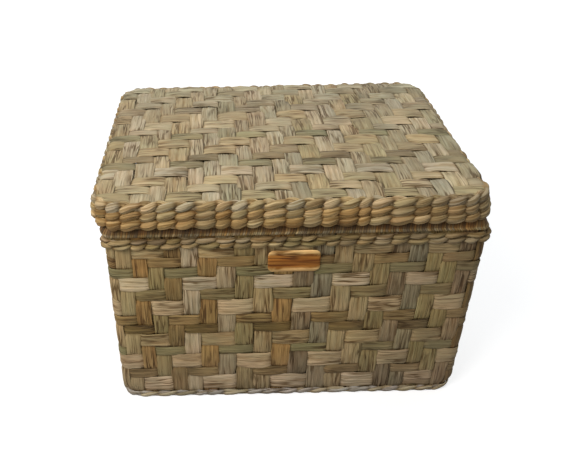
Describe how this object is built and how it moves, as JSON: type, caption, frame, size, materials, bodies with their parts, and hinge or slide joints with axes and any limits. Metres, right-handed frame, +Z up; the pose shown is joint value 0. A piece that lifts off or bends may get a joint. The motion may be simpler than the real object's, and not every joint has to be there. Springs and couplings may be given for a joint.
{
  "type": "woven lidded box",
  "caption": "Rectangular storage box of flat leaf strips in twill weave, with twined borders, a wrapped rim and a lid hinged at the back.",
  "frame": {"origin": "centre of the underside, on the surface that the box stands on", "axes": "+Z up, -Y to the front, +X to the right seen from the front"},
  "size_m": [0.4, 0.3298, 0.2598],
  "materials": {
    "weft_leaf": "dry flat leaf strip, pale, olive and brown, matte",
    "upright_leaf": "dry flat leaf strip, tan to grey olive, matte",
    "twined_leaf": "twisted leaf, golden tan, matte",
    "rim_wrap": "narrow leaf wrapping, brown, matte",
    "frame_rod": "split cane, raw",
    "tag": "plain orange brown, satin",
    "strap": "flat leaf strap, brown, matte"
  },
  "bodies": {
    "box": {"base_mat": "upright_leaf", "base_hoop": "frame_rod", "post_front_right": "frame_rod", "post_back_right": "frame_rod", "post_back_left": "frame_rod", "post_front_left": "frame_rod", "stakes_front": "upright_leaf", "stakes_right": "upright_leaf", "stakes_back": "upright_leaf", "stakes_left": "upright_leaf", "weft_01": "weft_leaf", "weft_02": "weft_leaf", "weft_03": "weft_leaf", "weft_04": "weft_leaf", "weft_05": "weft_leaf", "weft_06": "weft_leaf", "weft_07": "weft_leaf", "weft_08": "weft_leaf", "weft_09": "weft_leaf", "weft_10": "weft_leaf", "weft_11": "weft_leaf", "weft_12": "weft_leaf", "weft_13": "weft_leaf", "foot_twine": "twined_leaf", "rim_twine_lower_outer": "twined_leaf", "rim_twine_lower_inner": "twined_leaf", "rim_twine_upper_outer": "twined_leaf", "rim_twine_upper_inner": "twined_leaf", "rim_hoop": "rim_wrap", "front_tag": "tag", "hinge_box_left": "strap", "hinge_box_right": "strap"},
    "lid": {"lid_band": "upright_leaf", "lid_twine_lower_outer": "twined_leaf", "lid_twine_lower_inner": "twined_leaf", "lid_twine_middle_outer": "twined_leaf", "lid_twine_middle_inner": "twined_leaf", "lid_twine_upper_outer": "twined_leaf", "lid_twine_upper_inner": "twined_leaf", "lid_warps": "upright_leaf", "lid_weft_01": "weft_leaf", "lid_weft_02": "weft_leaf", "lid_weft_03": "weft_leaf", "lid_weft_04": "weft_leaf", "lid_weft_05": "weft_leaf", "lid_weft_06": "weft_leaf", "lid_weft_07": "weft_leaf", "lid_weft_08": "weft_leaf", "lid_weft_09": "weft_leaf", "lid_weft_10": "weft_leaf", "lid_weft_11": "weft_leaf", "lid_weft_12": "weft_leaf", "lid_weft_13": "weft_leaf", "lid_weft_14": "weft_leaf", "lid_weft_15": "weft_leaf", "lid_weft_16": "weft_leaf", "lid_weft_17": "weft_leaf", "hinge_lid_left": "strap", "hinge_lid_right": "strap"}
  },
  "joints": [
    {"name": "lid_hinge", "type": "hinge", "parent": "box", "child": "lid", "pos_m": [0, 0.1661, 0.23175], "axis": [-1, 0, 0], "range_deg": [0, 105]}
  ]
}
